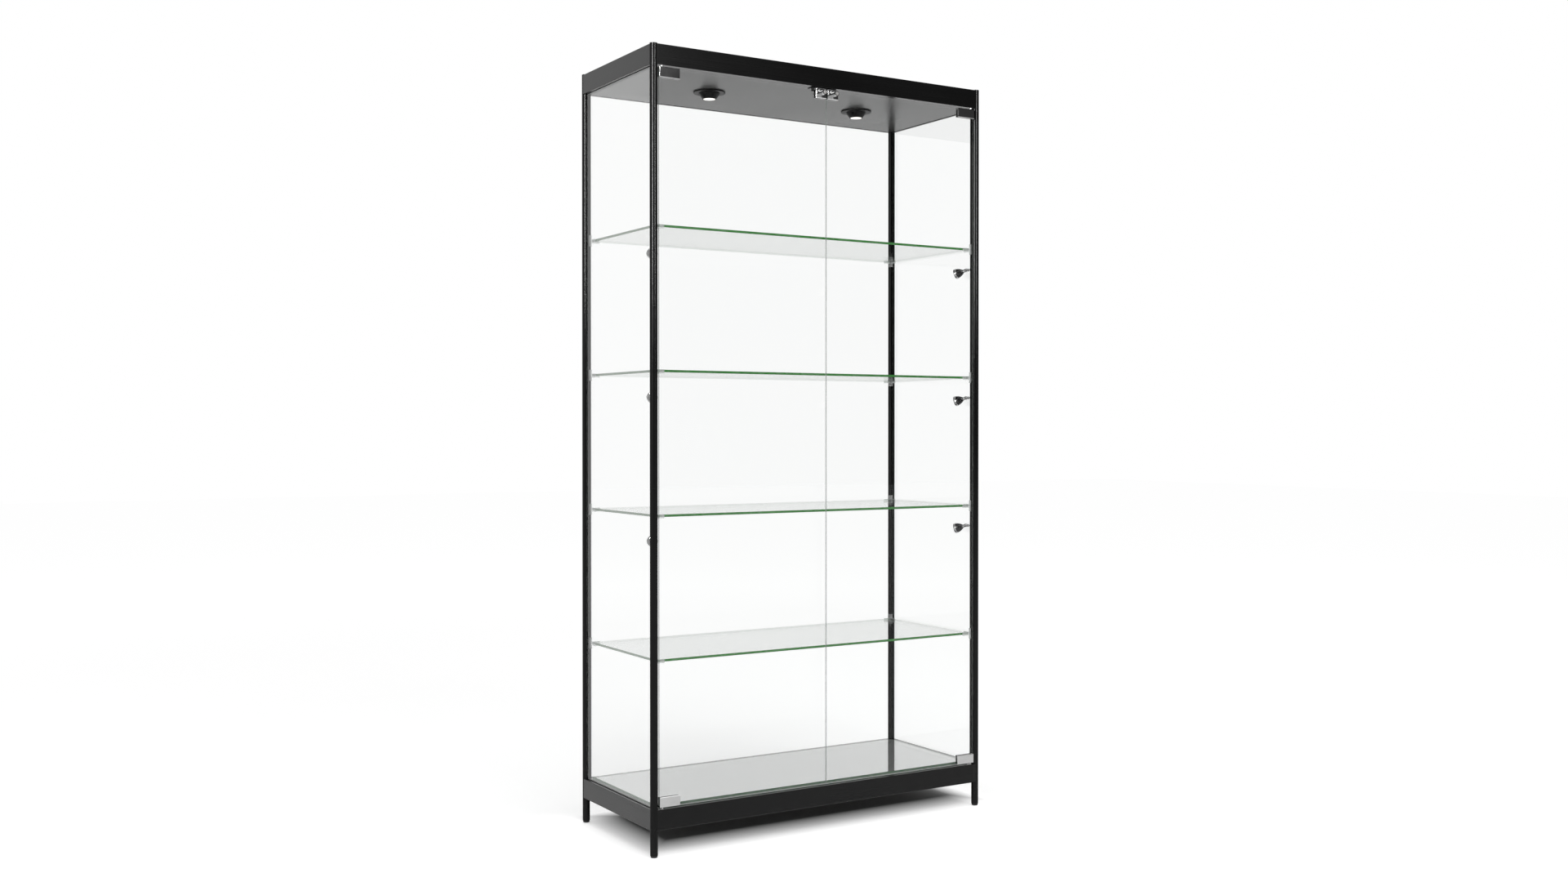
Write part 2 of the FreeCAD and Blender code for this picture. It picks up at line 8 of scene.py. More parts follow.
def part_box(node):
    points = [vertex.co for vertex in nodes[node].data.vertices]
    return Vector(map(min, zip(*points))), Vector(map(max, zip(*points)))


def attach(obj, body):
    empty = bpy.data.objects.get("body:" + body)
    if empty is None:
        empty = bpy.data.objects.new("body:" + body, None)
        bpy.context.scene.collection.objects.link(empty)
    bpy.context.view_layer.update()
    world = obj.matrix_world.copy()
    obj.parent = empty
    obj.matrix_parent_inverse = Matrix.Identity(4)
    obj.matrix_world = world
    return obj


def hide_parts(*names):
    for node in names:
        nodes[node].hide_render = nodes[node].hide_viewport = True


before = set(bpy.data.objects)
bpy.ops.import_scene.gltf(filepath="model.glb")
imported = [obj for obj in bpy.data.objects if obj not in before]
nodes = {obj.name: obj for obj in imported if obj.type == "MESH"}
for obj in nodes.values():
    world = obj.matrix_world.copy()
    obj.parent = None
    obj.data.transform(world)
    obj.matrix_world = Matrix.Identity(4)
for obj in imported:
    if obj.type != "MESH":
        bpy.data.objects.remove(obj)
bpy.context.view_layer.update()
scene = bpy.context.scene
scene.view_settings.view_transform = "Standard"

SIGNS = {"left": -1, "right": 1}
ENDS = ("front", "back")
RAIL_LEVELS = ("top", "bottom")
CORNERS = [end + "_" + side for end in ENDS for side in SIGNS]
MM = 1000                        # millimetres in a metre

# Places that repeat the model's own values, in metres
LAMP_X = 0.4825                  # lamp axes, left and right of the middle
LAMP_Y = -0.1665                 # tilt axes of the lamps
LAMP_Z = {"upper": 1.465, "middle": 1.115, "lower": 0.765}
LAMP_BEAM = Vector((0.49673, 0.819152, -0.286788))   # of a left lamp
LAMP_TILT = Vector((-0.5, 0.0, -0.866025))           # tilt axis of a left lamp
LAMP_POST_FACE = -0.1855         # inner face of a front post, which carries the lamps
LOCK_AXIS = (0.018, -0.224, 1.8855)                  # face of the right lock's barrel
HINGE_FACE = -0.1935             # inner face of the hinge clamps
HINGE_SCREW_X = (0.434, 0.455)
HINGE_Z = (0.1315, 1.8855)
DOWNLIGHT_X = 0.230
CEILING_Z = 1.902
POST_X = 0.4905
POST_Y = 0.1955
FOOTPRINT_X = 0.5                # half the width of the cabinet
FOOTPRINT_Y = 0.205              # half the depth

# Deck glass, in metres
DECK_ARRIS = 0.0006              # ground edges
DECK_AIR = 0.0001                # film of air below the glass, which keeps its face off the base panel's


class Graph:
    """The node tree of a material or a world, with short calls to add nodes and join them."""

    def __init__(self, owner):
        owner.use_nodes = True
        self.owner = owner
        self.tree = owner.node_tree
        self.tree.nodes.clear()

    def add(self, kind, inputs=None, **settings):
        """Adds a node. inputs gives each socket its value, or the socket that feeds it."""
        node = self.tree.nodes.new("ShaderNode" + kind)
        for key, value in settings.items():
            setattr(node, key, value)
        for key, value in (inputs or {}).items():
            if isinstance(value, bpy.types.NodeSocket):
                self.tree.links.new(value, node.inputs[key])
            else:
                node.inputs[key].default_value = value
        return node

    def coords(self, kind="Object"):
        """Coordinates of a point, or its normal, in the object's own frame."""
        return self.add("TexCoord").outputs[kind]

    def split(self, vector):
        """X, Y and Z of a vector."""
        return self.add("SeparateXYZ", {"Vector": vector}).outputs

    def scaled(self, vector, scale):
        """Vector with each of its parts scaled."""
        return self.add("Mapping", {"Vector": vector, "Scale": scale}).outputs["Vector"]

    def noise(self, vector, scale, detail=3.0):
        """Smooth noise, mostly from 0.3 to 0.7."""
        return self.add("TexNoise", {"Vector": vector, "Scale": scale, "Detail": detail}).outputs["Fac"]

    def remap(self, value, low, high, start=0.3, end=0.7):
        """Value that goes from low at start to high at end, and stays at these beyond."""
        inputs = {"Value": value, "From Min": start, "From Max": end, "To Min": low, "To Max": high}
        return self.add("MapRange", inputs).outputs["Result"]

    def calc(self, operation, first, second=0.0):
        """Result of a Math node."""
        return self.add("Math", {0: first, 1: second}, operation=operation).outputs[0]

    def blend(self, factor, first, second):
        """Colour between two colours."""
        return self.add("Mix", {0: factor, 6: first, 7: second}, data_type="RGBA").outputs[2]

    def relief(self, height, strength, depth):
        """Normal of a surface with fine relief."""
        return self.add("Bump", {"Strength": strength, "Distance": depth, "Height": height}).outputs["Normal"]

    def glance(self):
        """0 where the surface is seen straight on, rising late to 1 where it is seen along itself."""
        facing = self.add("LayerWeight", {"Blend": 0.5}).outputs["Facing"]
        return self.calc("POWER", facing, 5.0)

    def mix(self, factor, first, second):
        """Shader between two shaders."""
        return self.add("MixShader", {0: factor, 1: first.outputs[0], 2: second.outputs[0]})

    def finish(self, shader, output="OutputMaterial"):
        """Joins the shader to the output and gives the material or world."""
        self.tree.links.new(shader.outputs[0], self.add(output).inputs["Surface"])
        return self.owner


def new_graph(name):
    """Graph of a new material."""
    return Graph(bpy.data.materials.new(name))


def grey(value, warm=0.0):
    """Grey of a linear value; warm tips it from blue to red."""
    return (value * (1 + warm), value, value * (1 - warm), 1.0)


def surface(name, dark, light, rough, grain, depth, stretch=(1, 1, 1), cloud=7.0, painted_shade_below=None, more=None):
    """Principled material: tone and roughness drift over the piece, and a fine grain stands in relief.

    grain and cloud are the scales of the grain and the drift, depth is the height of the relief in metres,
    painted_shade_below, where given, a darker colour painted as shade on the faces that look down, and more holds
    the shader's other sockets.
    """
    g = new_graph(name)
    place = g.coords()
    fine = g.noise(g.scaled(place, stretch), grain)
    drift = g.noise(place, cloud, 4.0)
    tone = g.calc("ADD", g.calc("MULTIPLY", fine, 0.5), g.calc("MULTIPLY", drift, 0.5))
    colour = g.blend(g.remap(tone, 0.0, 1.0), dark, light)
    # Painted shade: faces that look down take a darker colour, so they throw less light on what lies below
    if painted_shade_below:
        looks_down = g.calc("LESS_THAN", g.split(g.coords("Normal"))["Z"], -0.5)
        colour = g.blend(looks_down, colour, painted_shade_below)
    inputs = {"Base Color": colour, "Roughness": g.remap(tone, *rough), "Normal": g.relief(fine, 0.4, depth)}
    inputs.update(more or {})
    return g.finish(g.add("BsdfPrincipled", inputs))


def glass(name, axis, tint, mirror, glare, front, side, clearness):
    """Clear sheet that mirrors at a glance, with ground edges in the colour of thick glass.

    axis is the direction across the sheet. mirror is how much a face mirrors when seen straight on and glare
    when seen along it, front the colour of the edges that face front and back, side that of the other edges,
    and clearness how much of what is behind shows through an edge. Edges seen from inside the sheet are clear.
    """
    clear_inside = 0.85
    g = new_graph(name)
    place = g.coords()
    normal = g.split(g.coords("Normal"))
    parts = {k: g.calc("ABSOLUTE", normal[k]) for k in "XYZ"}
    smear = g.noise(g.scaled(place, (3, 3, 1)), 2.5, 5.0)
    clear = g.add("BsdfTransparent", {"Color": tint})
    gloss = g.add("BsdfGlossy", {"Color": grey(1.0), "Roughness": g.remap(smear, 0.0, 0.035)})
    face = g.mix(g.remap(g.glance(), mirror, glare, 0.0, 1.0), clear, gloss)
    ripple = g.noise(place, 55.0, 2.0)
    side_on = g.calc("GREATER_THAN", parts["X" if axis != "X" else "Y"], 0.5)
    pale = g.blend(g.remap(ripple, 0.0, 0.1), g.blend(side_on, front, side), grey(0.6))
    ground = g.add("BsdfPrincipled", {"Base Color": pale, "Roughness": 0.18, "Specular IOR Level": 0.3,
                                      "Normal": g.relief(ripple, 0.2, 0.0004)})
    through = g.add("BsdfTransparent", {"Color": tint})
    inside = g.add("NewGeometry").outputs["Backfacing"]
    edge = g.mix(g.remap(inside, clearness, clear_inside, 0.0, 1.0), ground, through)
    return g.finish(g.mix(g.calc("LESS_THAN", parts[axis], 0.9), face, edge))


def lit_lens(name, strength):
    """Lit lens with a hammered prism pattern."""
    g = new_graph(name)
    cells = g.add("TexVoronoi", {"Vector": g.coords(), "Scale": 420.0}).outputs["Distance"]
    glow = g.blend(g.remap(cells, 0.0, 1.0, 0.0, 0.7), (1.0, 0.97, 0.9, 1.0), (0.82, 0.8, 0.76, 1.0))
    return g.finish(g.add("BsdfPrincipled", {
        "Base Color": glow, "Roughness": 0.2, "Normal": g.relief(cells, 0.3, 0.0006),
        "Emission Color": glow, "Emission Strength": strength}))


def frosted(name):
    """Clear moulded plastic with a milky body."""
    g = new_graph(name)
    cloud = g.noise(g.coords(), 160.0)
    milk = g.blend(g.remap(cloud, 0.0, 1.0), grey(0.82), grey(0.92))
    body = g.add("BsdfPrincipled", {
        "Base Color": milk, "Roughness": 0.22, "Normal": g.relief(cloud, 0.25, 0.0004)})
    clear = g.add("BsdfTransparent", {"Color": (0.96, 0.98, 0.97, 1.0)})
    return g.finish(g.mix(g.remap(cloud, 0.58, 0.74), body, clear))


def anodised(name, stretch, rough, shine):
    """Black anodised skin of a rail, with fine lines along it."""
    return surface(name, grey(0.003), grey(0.007), rough, grain=1.0, depth=0.000006, stretch=stretch, cloud=3.0,
                   more={"Specular IOR Level": shine})


def drawn_black(name):
    """Black anodised skin of a drawn post: fine lines along it, a thin mirror and little glare at its edges."""
    g = new_graph(name)
    place = g.coords()
    lines = g.noise(g.scaled(place, (900, 900, 4)), 1.0)
    drift = g.noise(place, 3.0, 4.0)
    skin = g.add("BsdfDiffuse", {"Color": g.blend(g.remap(drift, 0.0, 1.0), grey(0.003), grey(0.005))})
    mirror = g.add("BsdfGlossy", {"Color": grey(1.0), "Roughness": g.remap(drift, 0.16, 0.22),
                                  "Normal": g.relief(lines, 0.4, 0.000006)})
    return g.finish(g.mix(g.remap(g.glance(), 0.014, 0.35, 0.0, 1.0), skin, mirror))


METAL = {"Metallic": 1.0}
black_post = drawn_black("black_anodised_post")
black_wide = anodised("black_anodised_wide", stretch=(4, 900, 900), rough=(0.14, 0.2), shine=0.2)
black_deep = anodised("black_anodised_deep", stretch=(900, 4, 900), rough=(0.26, 0.36), shine=0.36)
black_plain = surface("black_lacquer", grey(0.008), grey(0.016), rough=(0.25, 0.4), grain=900.0, depth=0.00004,
                      cloud=20.0)
downlight_black = surface("black_powder_coat", grey(0.006), grey(0.011), rough=(0.36, 0.48), grain=900.0,
                          depth=0.00004, cloud=30.0, more={"Specular IOR Level": 0.12})
lamp_black = surface("black_gloss_lacquer", grey(0.006), grey(0.012), rough=(0.16, 0.26), grain=700.0,
                     depth=0.00003, cloud=30.0)
foot_black = surface("black_moulded", grey(0.016), grey(0.03), rough=(0.5, 0.65), grain=1400.0, depth=0.00015,
                     cloud=40.0)
rubber = surface("black_rubber", grey(0.012), grey(0.022), rough=(0.7, 0.85), grain=1800.0, depth=0.0002, cloud=40.0)
zinc = surface("zinc_plate", (0.46, 0.47, 0.48, 1), (0.6, 0.6, 0.61, 1), rough=(0.25, 0.45), grain=260.0,
               depth=0.00008, cloud=35.0, more=METAL)
chrome = surface("polished_chrome", grey(0.5), grey(0.6), rough=(0.05, 0.12), grain=500.0, depth=0.00002, cloud=25.0,
                 more=METAL)
nickel = surface("satin_nickel", grey(0.62, 0.02), grey(0.72, 0.02), rough=(0.22, 0.34), grain=900.0, depth=0.00005,
                 cloud=60.0, more=METAL)
ceiling = surface("textured_grey_laminate", grey(0.038), grey(0.058), rough=(0.26, 0.34), grain=900.0,
                  depth=0.00006, cloud=5.0, more={"Specular IOR Level": 0.25})
# The base panel's underside is painted near black: painted shade that deepens the floor's shadow under the cabinet
deck_board = surface("gloss_grey_laminate", grey(0.53), grey(0.585), rough=(0.05, 0.1), grain=300.0, depth=0.00003,
                     cloud=4.0, painted_shade_below=grey(0.012))
nylon = surface("natural_nylon", grey(0.68, 0.02), grey(0.78, 0.02), rough=(0.4, 0.55), grain=900.0, depth=0.0001,
                cloud=50.0)
driver_case = surface("grey_moulded_case", grey(0.6), grey(0.7), rough=(0.45, 0.6), grain=1200.0, depth=0.0002,
                      cloud=30.0)
clip_plastic = frosted("frosted_clear_plastic")
lens = lit_lens("lit_lens", strength=0.9)
spot_lens = lit_lens("lit_spot_lens", strength=0.6)

pane = {"tint": (0.993, 0.995, 0.994, 1), "glare": 0.9, "front": (0.42, 0.46, 0.43, 1),
        "side": (0.42, 0.46, 0.43, 1), "clearness": 0.35}
glass_across_x = glass("clear_glass_side", "X", mirror=0.055, **pane)
glass_across_y = glass("clear_glass_front", "Y", mirror=0.008, **pane)
shelf_glass = glass("shelf_glass", "Z", tint=(0.88, 0.886, 0.881, 1), mirror=0.03, glare=0.48,
                    front=(0.03, 0.2, 0.03, 1), side=(0.17, 0.25, 0.17, 1), clearness=0.02)
deck_glass = glass("deck_glass", "Z", tint=(0.985, 0.99, 0.987, 1), mirror=0.04, glare=1.0,
                   front=(0.08, 0.15, 0.09, 1), side=(0.13, 0.2, 0.14, 1), clearness=0.02)


def dress(material, *names):
    """Puts a material on CAD nodes."""
    for name in names:
        data = nodes[name].data
        data.materials.clear()
        data.materials.append(material)


dress(black_post, *["post_" + corner for corner in CORNERS])
dress(black_wide, *[level + "_rail_" + end for level in RAIL_LEVELS for end in ENDS])
dress(black_deep, *[level + "_rail_" + side for level in RAIL_LEVELS for side in SIGNS])
dress(black_plain, "post_caps", "top_cover", "lock_strike")
dress(zinc, "corner_braces")
dress(ceiling, "ceiling_panel")
dress(deck_board, "base_panel")
dress(glass_across_x, "side_glass_left", "side_glass_right")
dress(glass_across_y, "back_glass", "door_glass_left", "door_glass_right")
dress(shelf_glass, "shelf_1", "shelf_2", "shelf_3", "shelf_4")
dress(clip_plastic, "shelf_clips")
dress(nylon, "pivot_bushes")
dress(driver_case, "lamp_driver")
dress(rubber, "cable_grommet")
dress(chrome, "lamp_bases")
for side in SIGNS:
    dress(chrome, "hinge_clamps_" + side, "hinge_pins_" + side, "lock_housing_" + side)
    dress(nickel, "lock_plug_" + side)
    dress(chrome, *["lamp_yoke_%s_%s" % (side, level) for level in LAMP_Z])


def piece(name, mesh, material, body, place=None):
    """Shows a mesh as a piece that moves with a body."""
    mesh.materials.append(material)
    mesh.polygons.foreach_set("use_smooth", [True] * len(mesh.polygons))
    mesh.set_sharp_from_angle(angle=math.radians(32))
    shown = bpy.data.objects.new(name, mesh)
    scene.collection.objects.link(shown)
    if place:
        shown.matrix_world = place
    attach(shown, body)
    return shown


def lathe(shape, profile, steps=48, six_sided=(), place=Matrix()):
    """Adds a solid of revolution about local Z over a closed profile of (radius, z) points, in millimetres.

    The points whose index is in six_sided follow a hexagon instead of a circle.
    """
    on_axis = 1e-6
    sixth = math.pi / 3
    turns = [2 * math.pi * i / steps for i in range(steps)]
    rows = []
    for index, (radius, z) in enumerate(profile):
        row = []
        for turn in turns if radius > on_axis else turns[:1]:
            reach = radius
            if index in six_sided:
                reach /= math.cos((turn + sixth / 2) % sixth - sixth / 2)
            row.append(shape.verts.new(place @ Vector((reach * math.cos(turn), reach * math.sin(turn), z)) / MM))
        rows.append(row if len(row) > 1 else row * steps)
    for low, high in zip(rows, rows[1:] + rows[:1]):
        for i in range(steps):
            k = (i + 1) % steps
            corners = []
            for vert in (low[i], low[k], high[k], high[i]):
                if vert not in corners:
                    corners.append(vert)
            if len(corners) > 2:
                shape.faces.new(corners)


def mesh_of(shape, name):
    """Mesh of a finished shape, with its faces turned outwards."""
    bmesh.ops.recalc_face_normals(shape, faces=shape.faces)
    mesh = bpy.data.meshes.new(name)
    shape.to_mesh(mesh)
    shape.free()
    return mesh


def rounded(points, corner, steps=4):
    """Closed profile with its corners rounded; corner maps a point's index to its radius."""
    out = []
    for i, point in enumerate(points):
        radius = corner.get(i, 0)
        if not radius:
            out.append(point)
            continue
        here = Vector(point)
        before = (Vector(points[i - 1]) - here).normalized()
        after = (Vector(points[(i + 1) % len(points)]) - here).normalized()
        start = here + before * radius
        end = here + after * radius
        for k in range(steps + 1):
            t = k / steps
            out.append(tuple((1 - t) ** 2 * start + 2 * t * (1 - t) * here + t ** 2 * end))
    return out


def turned_piece(name, profile, material, body, place, corner=None):
    """Shows a turned shape as a piece; corner rounds points of its profile."""
    shape = bmesh.new()
    lathe(shape, rounded(profile, corner or {}))
    return piece(name, mesh_of(shape, name), material, body, place)


def lamp_place(side, level):
    """Frame of a lamp head: Z along its beam, X on its tilt axis, origin on that axis."""
    sign = SIGNS[side]
    beam = Vector((-sign * LAMP_BEAM.x, LAMP_BEAM.y, LAMP_BEAM.z))
    tilt = Vector((-sign * LAMP_TILT.x, LAMP_TILT.y, LAMP_TILT.z))
    turn = Matrix((tilt, beam.cross(tilt), beam)).transposed().to_4x4()
    return Matrix.Translation((sign * LAMP_X, LAMP_Y, LAMP_Z[level])) @ turn


def bell_mesh():
    """Bell of a lamp: a rounded cup that ends under the rim."""
    neck_radius, neck_z = 4.9, 9.2
    swell_radius, swell_z = 7.8, 17.4        # added from neck to mouth
    back_radius, back_z = 4.2, 8.9
    fullness, steps = 1.7, 12
    swell = []
    for i in range(steps + 1):
        t = i / steps
        swell.append((neck_radius + swell_radius * (1 - (1 - t) ** fullness), neck_z + swell_z * t))
    shape = bmesh.new()
    lathe(shape, [(0, back_z), (back_radius, back_z)] + swell + [(0, neck_z + swell_z)])
    return mesh_of(shape, "lamp_bell")


def rim_mesh():
    """Rim of a lamp: a thick turned ring with rounded lips and a groove behind them."""
    shape = bmesh.new()
    outline = [(11.0, 26.6), (13.0, 26.6), (14.0, 27.4), (14.0, 29.6), (13.4, 30.1), (13.4, 30.5), (14.0, 31.0),
               (14.0, 33.5), (11.0, 33.5)]
    lathe(shape, rounded(outline, {2: 0.6, 7: 1.0, 8: 0.8}))
    return mesh_of(shape, "lamp_rim")


def spot_lens_mesh():
    """Lens of a lamp: prism rings round a raised middle."""
    radius, back_z, middle_z = 10.9, 28.1, 30.6
    ring_pitch, ring_width, ring_count = 2, 1.6, 5
    groove_z, crest_z, rise = 29.2, 29.8, 0.12
    front = []
    for i in range(ring_count):
        outer = radius - ring_pitch * i
        front += [(outer, groove_z + rise * i), (outer - ring_width, crest_z + rise * i)]
    shape = bmesh.new()
    lathe(shape, [(0, back_z), (radius, back_z)] + front + [(0, middle_z)])
    return mesh_of(shape, "spot_lens")


def screw_head(shape, place, radius, base, top):
    """Adds a socket screw's head: a chamfered disc along local Z with a six-sided pit."""
    pit_radius, pit_depth, chamfer = radius * 0.5, 0.5, 0.25
    profile = [(0, base), (radius, base), (radius, top - chamfer), (radius - chamfer, top), (pit_radius, top),
               (pit_radius, top - pit_depth), (0, top - pit_depth)]
    lathe(shape, profile, 24, six_sided=(4, 5), place=place)


def drum_mesh():
    """Slotted drum behind a bell, with the two screw heads on its tilt axis."""
    slot_half = 0.0016                       # in metres, as cut
    ear_outline = [(0, -2.8), (4.5, -2.8), (4.5, 9.2), (0, 9.2)]
    solid_end = [(0, 4.0), (4.4, 4.0), (4.4, 9.1), (0, 9.1)]
    shape = bmesh.new()
    for sign in SIGNS.values():
        ear = bmesh.new()
        lathe(ear, rounded(ear_outline, {1: 1.0}))
        made = bmesh.ops.bisect_plane(ear, geom=ear.verts[:] + ear.edges[:] + ear.faces[:],
                                      plane_co=(sign * slot_half, 0, 0), plane_no=(-sign, 0, 0), clear_outer=True)
        rim = [edge for edge in made["geom_cut"] if isinstance(edge, bmesh.types.BMEdge)]
        bmesh.ops.contextual_create(ear, geom=rim)
        part = bpy.data.meshes.new("ear")
        ear.to_mesh(part)
        ear.free()
        shape.from_mesh(part)
        bpy.data.meshes.remove(part)
    lathe(shape, solid_end)
    for sign in SIGNS.values():
        screw_head(shape, Matrix.Rotation(sign * math.pi / 2, 4, "Y"), radius=1.7, base=4.1, top=4.95)
    return mesh_of(shape, "lamp_drum")


for side in SIGNS:
    for level in LAMP_Z:
        name = "%s_%s" % (side, level)
        body = "lamp_head_" + name
        place = lamp_place(side, level)
        bell = piece("lamp_bell_" + name, bell_mesh(), lamp_black, body, place)
        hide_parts("lamp_head_" + name)
        piece("lamp_rim_" + name, rim_mesh(), chrome, body, place)
        piece("lamp_drum_" + name, drum_mesh(), chrome, body, place)
        piece("lamp_lens_" + name, spot_lens_mesh(), spot_lens, body, place)

# Ferrules where the lamp stems leave the posts
INWARDS = Matrix.Rotation(-math.pi / 2, 4, "X")
FERRULE = [(1.85, 0.0), (3.0, 0.0), (3.0, 2.0), (2.5, 2.4), (2.5, 6.0), (1.85, 6.0)]
for side, sign in SIGNS.items():
    for level, z in LAMP_Z.items():
        place = Matrix.Translation((sign * LAMP_X, LAMP_POST_FACE, z)) @ INWARDS
        turned_piece("lamp_ferrule_%s_%s" % (side, level), FERRULE, chrome, "cabinet", place,
                     {2: 0.4, 4: 0.4})

# Dark rings in the faces of the lock barrels, and set screws in the inner plates of the hinges
OUTWARDS = Matrix.Rotation(math.pi / 2, 4, "X")
LOCK_RING = [(4.56, -0.2), (6.35, -0.2), (6.35, 0.1), (6.0, 0.4), (4.9, 0.4), (4.56, 0.15)]
for side, sign in SIGNS.items():
    place = Matrix.Translation((sign * LOCK_AXIS[0], LOCK_AXIS[1], LOCK_AXIS[2])) @ OUTWARDS
    turned_piece("lock_ring_" + side, LOCK_RING, black_plain, side + "_door", place)
    screws = bmesh.new()
    for x in HINGE_SCREW_X:
        for z in HINGE_Z:
            seat = Matrix.Translation(Vector((sign * x, HINGE_FACE, z)) * MM) @ INWARDS
            screw_head(screws, seat, radius=3.0, base=-0.4, top=0.7)
    piece("hinge_screws_" + side, mesh_of(screws, "hinge_screws"), zinc, side + "_door")

# Downlights: flanged cones, each with a lens of prism rings in its end
CONE = [(0, 0.0), (41.5, 0.0), (41.5, -3.0), (27.6, -3.0), (27.0, -5.2), (18.6, -17.2), (17.6, -18.2),
        (15.4, -18.2), (15.4, -16.0), (0, -16.0)]
CONE_CORNERS = {2: 0.5, 3: 0.6, 5: 0.8, 6: 0.6}
PRISM_RADII = (15.2, 13.4, 12.9, 10.4, 9.9, 7.2, 6.7, 3.6, 3.1)
PRISM_BACK, PRISM_FACE, PRISM_STEP = -16.2, -18.3, -0.35
DOWNLIGHT_STEPS = 64
cones, prisms = bmesh.new(), bmesh.new()
for sign in SIGNS.values():
    place = Matrix.Translation(Vector((sign * DOWNLIGHT_X, 0, CEILING_Z)) * MM)
    lathe(cones, rounded(CONE, CONE_CORNERS), DOWNLIGHT_STEPS, place=place)
    rings = [(radius, PRISM_FACE + PRISM_STEP * (i % 2)) for i, radius in enumerate(PRISM_RADII)]
    back = [(0, PRISM_BACK), (PRISM_RADII[0], PRISM_BACK)]
    lathe(prisms, back + rings + [(0, PRISM_FACE)], DOWNLIGHT_STEPS, place=place)
housing = piece("downlight_cones", mesh_of(cones, "downlight_cones"), downlight_black, "cabinet")
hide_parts("downlight_housings")
prism = piece("downlight_prisms", mesh_of(prisms, "downlight_prisms"), lens, "cabinet")
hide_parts("downlight_lenses")

# Deck glass: a sheet with ground arrises
low, high = (Vector(corner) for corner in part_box("deck_glass"))
low.z += DECK_AIR
sheet = bmesh.new()
bmesh.ops.create_cube(sheet, size=1.0)
for vert in sheet.verts:
    vert.co = [a if c < 0 else b for a, b, c in zip(low, high, vert.co)]
bmesh.ops.bevel(sheet, geom=sheet.edges[:], offset=DECK_ARRIS, segments=1, affect="EDGES")
deck = piece("deck_sheet", mesh_of(sheet, "deck_sheet"), deck_glass, "cabinet")
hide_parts("deck_glass")

# Feet: turned pads on studs
PAD = [(0, 0.0), (7.2, 0.0), (8.5, 1.2), (8.5, 2.4), (8.2, 2.7), (8.5, 3.0), (8.5, 4.7), (3.4, 4.7), (3.4, 30.0),
       (0, 30.0)]
for corner in CORNERS:
    end, side = corner.split("_")
    place = Matrix.Translation((SIGNS[side] * POST_X, POST_Y if end == "back" else -POST_Y, 0))
    foot = turned_piece("foot_pad_" + corner, PAD, foot_black, "foot_" + corner, place,
                        {2: 0.6, 6: 0.4})
    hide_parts("foot_" + corner)


def floor_material():
    """Pale floor that is white where it is seen away from the cabinet, with a painted shadow that deepens the
    cabinet's own.

    The painted shadow fades in under the front and left sides and ends soon after the back and right sides.
    """
    left_reach = 0.03                        # of the painted shadow past the left side
    near_fade, far_fade = (-0.14, -0.03), (0.0, 0.06)
    # The last grey is the painted shadow under the cabinet, the middle one the floor's painted dimmer reflection in
    # front
    pale, pale_mirrored, painted_shadow_grey = grey(0.9), grey(0.62), grey(0.3)
    g = new_graph("pale_floor")
    ray = g.add("LightPath").outputs
    place = g.coords()
    axes = g.split(place)
    x, y = axes["X"], axes["Y"]
    # near and far say how far a point lies outside the front and left sides and the back and right sides; outside is
    # 0 where the painted shadow is full and 1 where the floor is clear of it
    past_left = g.calc("SUBTRACT", -FOOTPRINT_X - left_reach, x)
    near = g.calc("MAXIMUM", past_left, g.calc("SUBTRACT", -FOOTPRINT_Y, y))
    far = g.calc("MAXIMUM", g.calc("SUBTRACT", x, FOOTPRINT_X), g.calc("SUBTRACT", y, FOOTPRINT_Y))
    outside = g.calc("MAXIMUM", g.remap(near, 0.0, 1.0, *near_fade), g.remap(far, 0.0, 1.0, *far_fade))

    # Dimmer where metal mirrors it in front of the cabinet, a painted dimming of its reflection, and painted darker
    # where the camera sees it under the cabinet, a painted shadow that deepens the real one
    mirrored = g.calc("MULTIPLY", ray["Is Glossy Ray"], g.remap(y, 1.0, 0.0, -0.6, 0.1))
    under = g.calc("MULTIPLY", ray["Is Camera Ray"], g.calc("SUBTRACT", 1.0, outside))
    colour = g.blend(under, g.blend(mirrored, pale, pale_mirrored), painted_shadow_grey)
    paint = g.add("BsdfDiffuse", {"Color": colour})

    # White glow for camera and mirror rays that brings the floor up to the background, withheld inside the painted
    # shadow, with a little more of it close to the cabinet: painted light that lifts the real shade next to the
    # cabinet
    spread = g.add("VectorMath", {0: place}, operation="LENGTH").outputs["Value"]
    # Painted light: extra glow near the cabinet's sides, where the floor's real shade would show
    close = g.remap(g.calc("MAXIMUM", near, far), 0.2, 0.0, 0.0, 0.12)
    lift = g.calc("ADD", g.remap(spread, 0.33, 0.45, 1.2, 6.0), close)
    seen = g.calc("MINIMUM", g.calc("ADD", ray["Is Camera Ray"], ray["Is Glossy Ray"]), 1.0)
    fill = g.calc("MULTIPLY", seen, g.calc("MULTIPLY", outside, lift))
    glow = g.add("Emission", {"Color": grey(1.0), "Strength": fill})
    return g.finish(g.add("AddShader", {0: paint.outputs[0], 1: glow.outputs[0]}))


FLOOR_REACH = 20
floor_mesh = bpy.data.meshes.new("floor")
floor_corners = [(sx * FLOOR_REACH, sy * FLOOR_REACH, 0) for sx, sy in ((-1, -1), (1, -1), (1, 1), (-1, 1))]
floor_mesh.from_pydata(floor_corners, [], [(0, 1, 2, 3)])
floor_mesh.materials.append(floor_material())
floor = bpy.data.objects.new("floor", floor_mesh)
scene.collection.objects.link(floor)


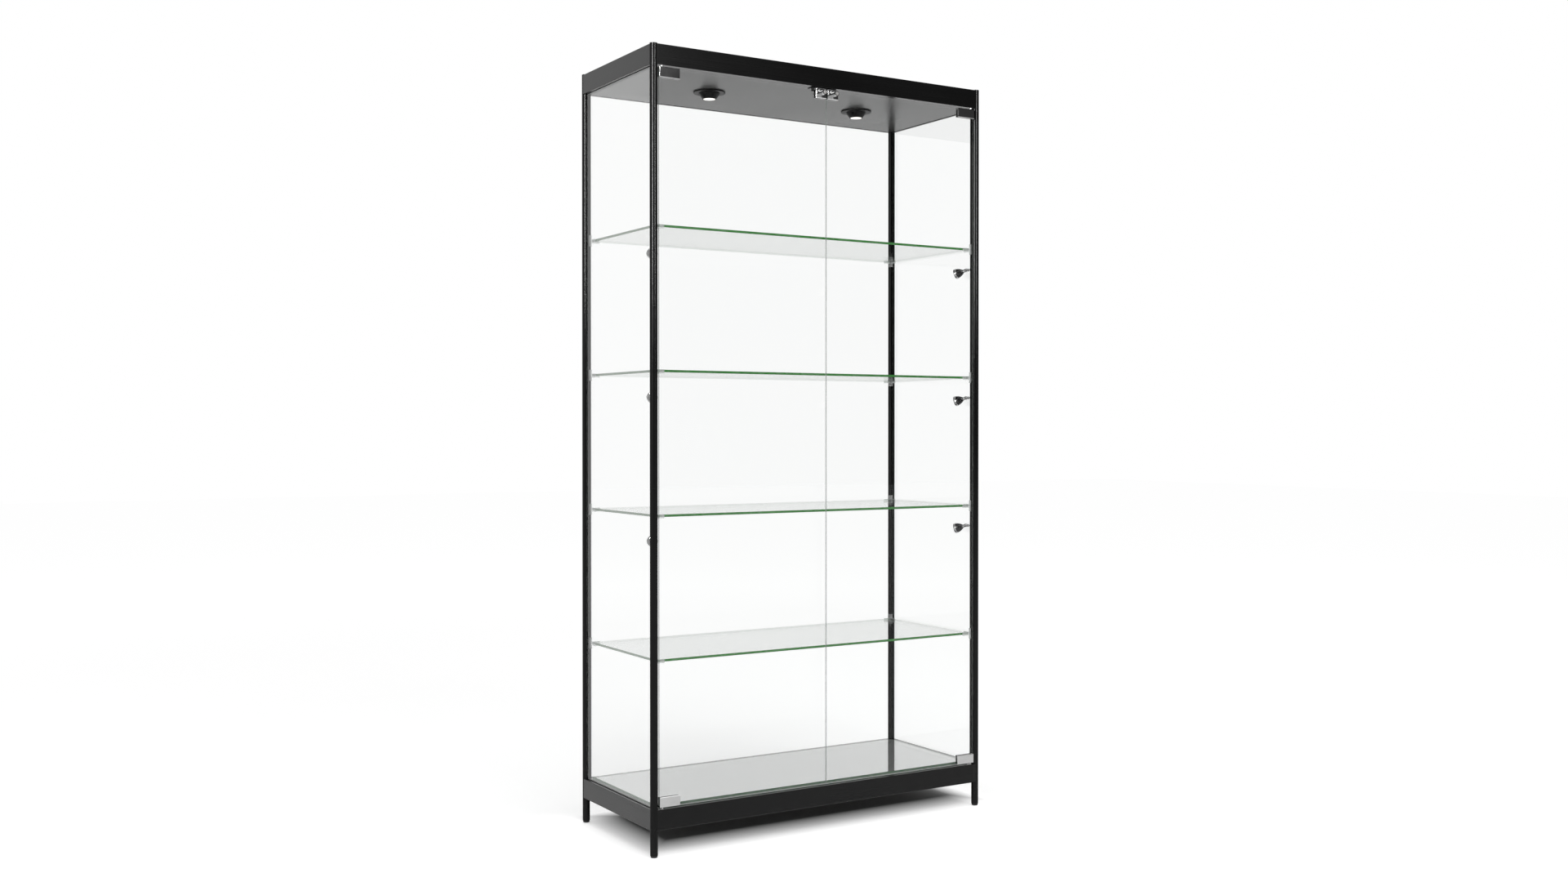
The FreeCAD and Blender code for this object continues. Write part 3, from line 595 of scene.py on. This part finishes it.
def studio_world():
    """White background and soft ambient light.

    Mirrors see a room that is white behind the cabinet and dark in front of it.
    """
    ambient, front_level = 0.6, 0.05
    behind = (-0.25, 0.97, 0.0)              # heading of the white side
    world = bpy.data.worlds.new("studio")
    world.cycles.sampling_method = "NONE"
    sky = Graph(world)
    ray = sky.add("LightPath").outputs
    heading = {0: sky.coords("Generated"), 1: behind}
    ahead = sky.add("VectorMath", heading, operation="DOT_PRODUCT").outputs["Value"]
    mirrored = sky.remap(ahead, front_level, 1.0, -0.45, 0.15)
    seen = sky.calc("MAXIMUM", ray["Is Camera Ray"], ray["Is Transmission Ray"])
    level = sky.add("Mix", {0: ray["Is Glossy Ray"], 2: ambient, 3: mirrored}).outputs[0]
    level = sky.add("Mix", {0: seen, 2: level, 3: 1.0}).outputs[0]
    return sky.finish(sky.add("Background", {"Color": grey(1.0), "Strength": level}), "OutputWorld")


scene.world = studio_world()


def softbox(name, place, aim, width, height, radiance):
    """Area lamp of a given brightness, turned towards a point."""
    light = bpy.data.lights.new(name, "AREA")
    light.shape = "RECTANGLE"
    light.size = width
    light.size_y = height
    light.energy = radiance * math.pi * width * height
    lamp = bpy.data.objects.new(name, light)
    scene.collection.objects.link(lamp)
    lamp.location = place
    lamp.rotation_euler = (Vector(aim) - Vector(place)).to_track_quat("-Z", "Y").to_euler()
    return lamp


softbox("overhead", (0.0, -0.6, 3.4), aim=(0, 0, 0), width=3.2, height=2.2, radiance=1.5)
softbox("key", (0.4, -3.6, 4.4), aim=(0, -0.2, 0.3), width=2.4, height=1.6, radiance=3.2)
# Narrow strips draw the lines of light on posts, rails and metal, and light nothing else
strips = [
    softbox("strip_left", (-2.41, -1.45, 2.2), aim=(-0.3, -0.15, 1.95), width=0.32, height=1.25, radiance=75.0),
    softbox("strip_front", (0.6, -4.1, 2.45), aim=(0, 0, 1.8), width=0.44, height=1.5, radiance=50.0),
]
for strip in strips:
    strip.visible_diffuse = False

# Camera, as solved from the edges of the posts and rails in the photograph
camera = bpy.data.cameras.new("camera")
camera.lens = 35.23
camera.sensor_width = 36.0
viewer = bpy.data.objects.new("camera", camera)
scene.collection.objects.link(viewer)
viewer.location = (-2.1587, -3.4897, 1.0308)
viewer.rotation_euler = (math.radians(89.536), 0.0, math.radians(-31.71))
scene.camera = viewer
